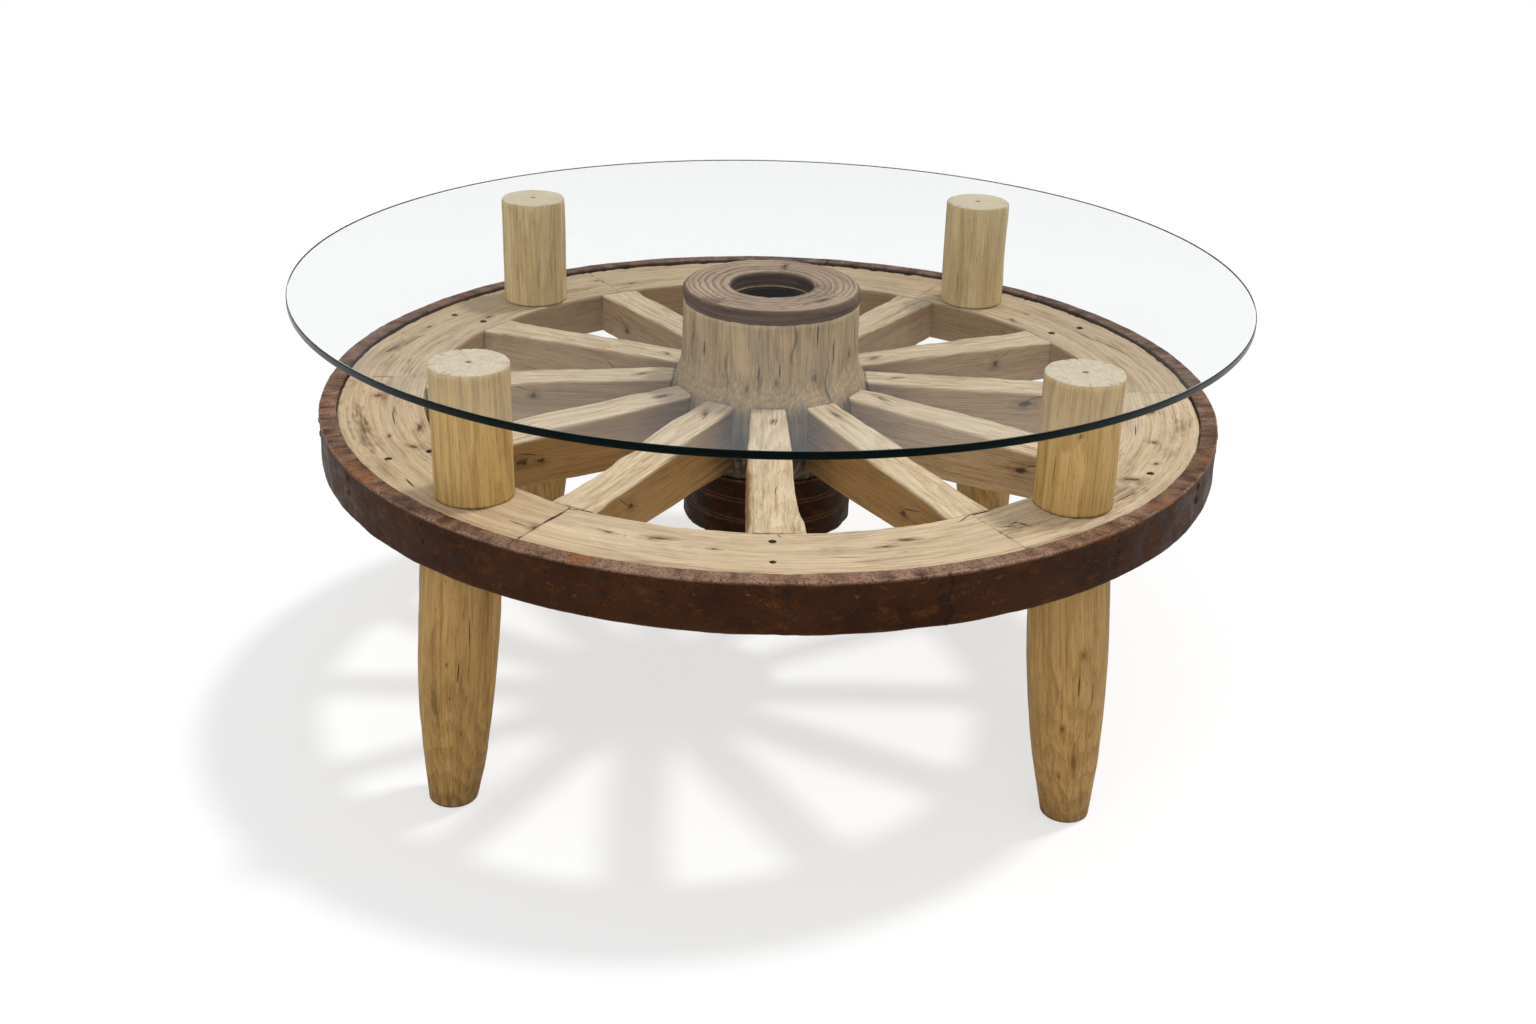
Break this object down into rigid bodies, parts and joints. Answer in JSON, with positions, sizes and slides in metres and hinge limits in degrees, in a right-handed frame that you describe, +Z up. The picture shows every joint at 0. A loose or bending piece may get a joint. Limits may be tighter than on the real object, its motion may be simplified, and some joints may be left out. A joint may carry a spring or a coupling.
{
  "type": "wagon wheel table",
  "caption": "Low round table: a spoked wooden wheel with an iron tyre lies flat on turned legs, and short turned posts on its rim hold a round glass top.",
  "frame": {"origin": "on the floor, under the axis of the wheel's hub", "axes": "+Z up along the hub's axis, +X to the right and -Y towards the front"},
  "size_m": [1.0639, 1.064, 0.498],
  "materials": {
    "leg_wood": "satin",
    "post_wood": "satin",
    "felloe_wood": "satin",
    "spoke_wood": "satin",
    "hub_wood": "satin",
    "cap_wood": "satin",
    "tyre_iron": "satin",
    "band_iron": "satin",
    "sleeve_iron": "matte",
    "nail_iron": "matte",
    "clear_glass": "gloss"
  },
  "bodies": {
    "base": {"leg_front_left": "leg_wood", "leg_front_right": "leg_wood", "leg_back_left": "leg_wood", "leg_back_right": "leg_wood", "post_front_left": "post_wood", "post_front_right": "post_wood", "post_back_left": "post_wood", "post_back_right": "post_wood", "felloe_1": "felloe_wood", "felloe_2": "felloe_wood", "felloe_3": "felloe_wood", "felloe_4": "felloe_wood", "felloe_5": "felloe_wood", "felloe_6": "felloe_wood", "spoke_1": "spoke_wood", "spoke_2": "spoke_wood", "spoke_3": "spoke_wood", "spoke_4": "spoke_wood", "spoke_5": "spoke_wood", "spoke_6": "spoke_wood", "spoke_7": "spoke_wood", "spoke_8": "spoke_wood", "spoke_9": "spoke_wood", "spoke_10": "spoke_wood", "spoke_11": "spoke_wood", "spoke_12": "spoke_wood", "tyre": "tyre_iron", "hub_barrel": "hub_wood", "hub_cap": "cap_wood", "axle_box": "sleeve_iron", "hub_band_1": "band_iron", "hub_band_2": "band_iron", "hub_band_3": "band_iron", "tyre_nails": "nail_iron", "felloe_pins": "nail_iron"},
    "glass": {"glass_top": "clear_glass"}
  },
  "joints": [
    {"name": "glass_lift", "type": "slide", "parent": "base", "child": "glass", "axis": [0, 0, 1], "range_m": [0, 0.15]}
  ]
}
